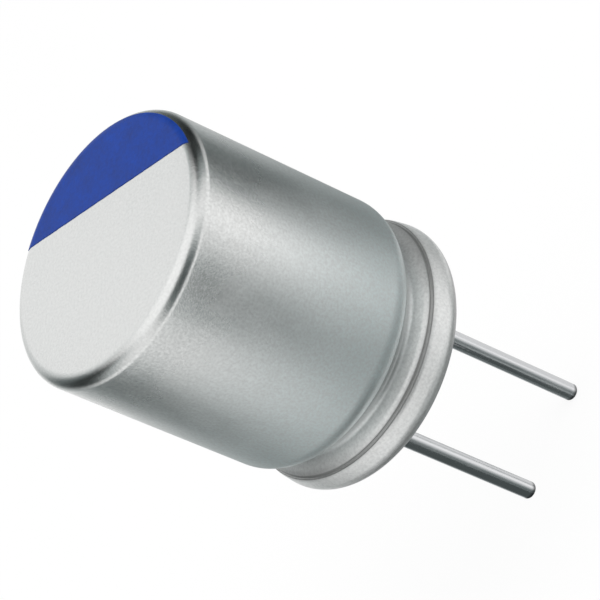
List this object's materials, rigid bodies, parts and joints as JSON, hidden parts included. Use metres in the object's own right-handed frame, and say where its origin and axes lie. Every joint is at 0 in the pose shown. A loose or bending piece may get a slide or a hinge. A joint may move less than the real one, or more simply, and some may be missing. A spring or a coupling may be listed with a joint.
{
  "type": "electrolytic capacitor",
  "caption": "Radial-lead aluminium capacitor: beaded and curled can with a half-moon polarity mark, a rubber bung, a wound element inside and two wire leads.",
  "frame": {"origin": "on the seating plane, midway between the two leads", "axes": "+Z along the can's axis towards its closed end; X along the line of the leads, with the marked negative side at -X"},
  "size_m": [0.01, 0.01, 0.0222],
  "materials": {
    "can_aluminium": "satin drawn aluminium",
    "mark_ink": "blue printing ink",
    "bung_rubber": "matt moulded rubber",
    "winding": "polymer-filled foil and paper winding",
    "tape": "thin adhesive tape",
    "tab_aluminium": "bare pressed aluminium",
    "lead_tin": "bright tinned wire"
  },
  "bodies": {
    "root": {"can": "can_aluminium", "polarity_mark": "mark_ink", "sealing_bung": "bung_rubber", "wound_element": "winding", "element_tape": "tape", "anode_tab": "tab_aluminium", "cathode_tab": "tab_aluminium", "anode_lead": "lead_tin", "cathode_lead": "lead_tin"}
  },
  "joints": []
}
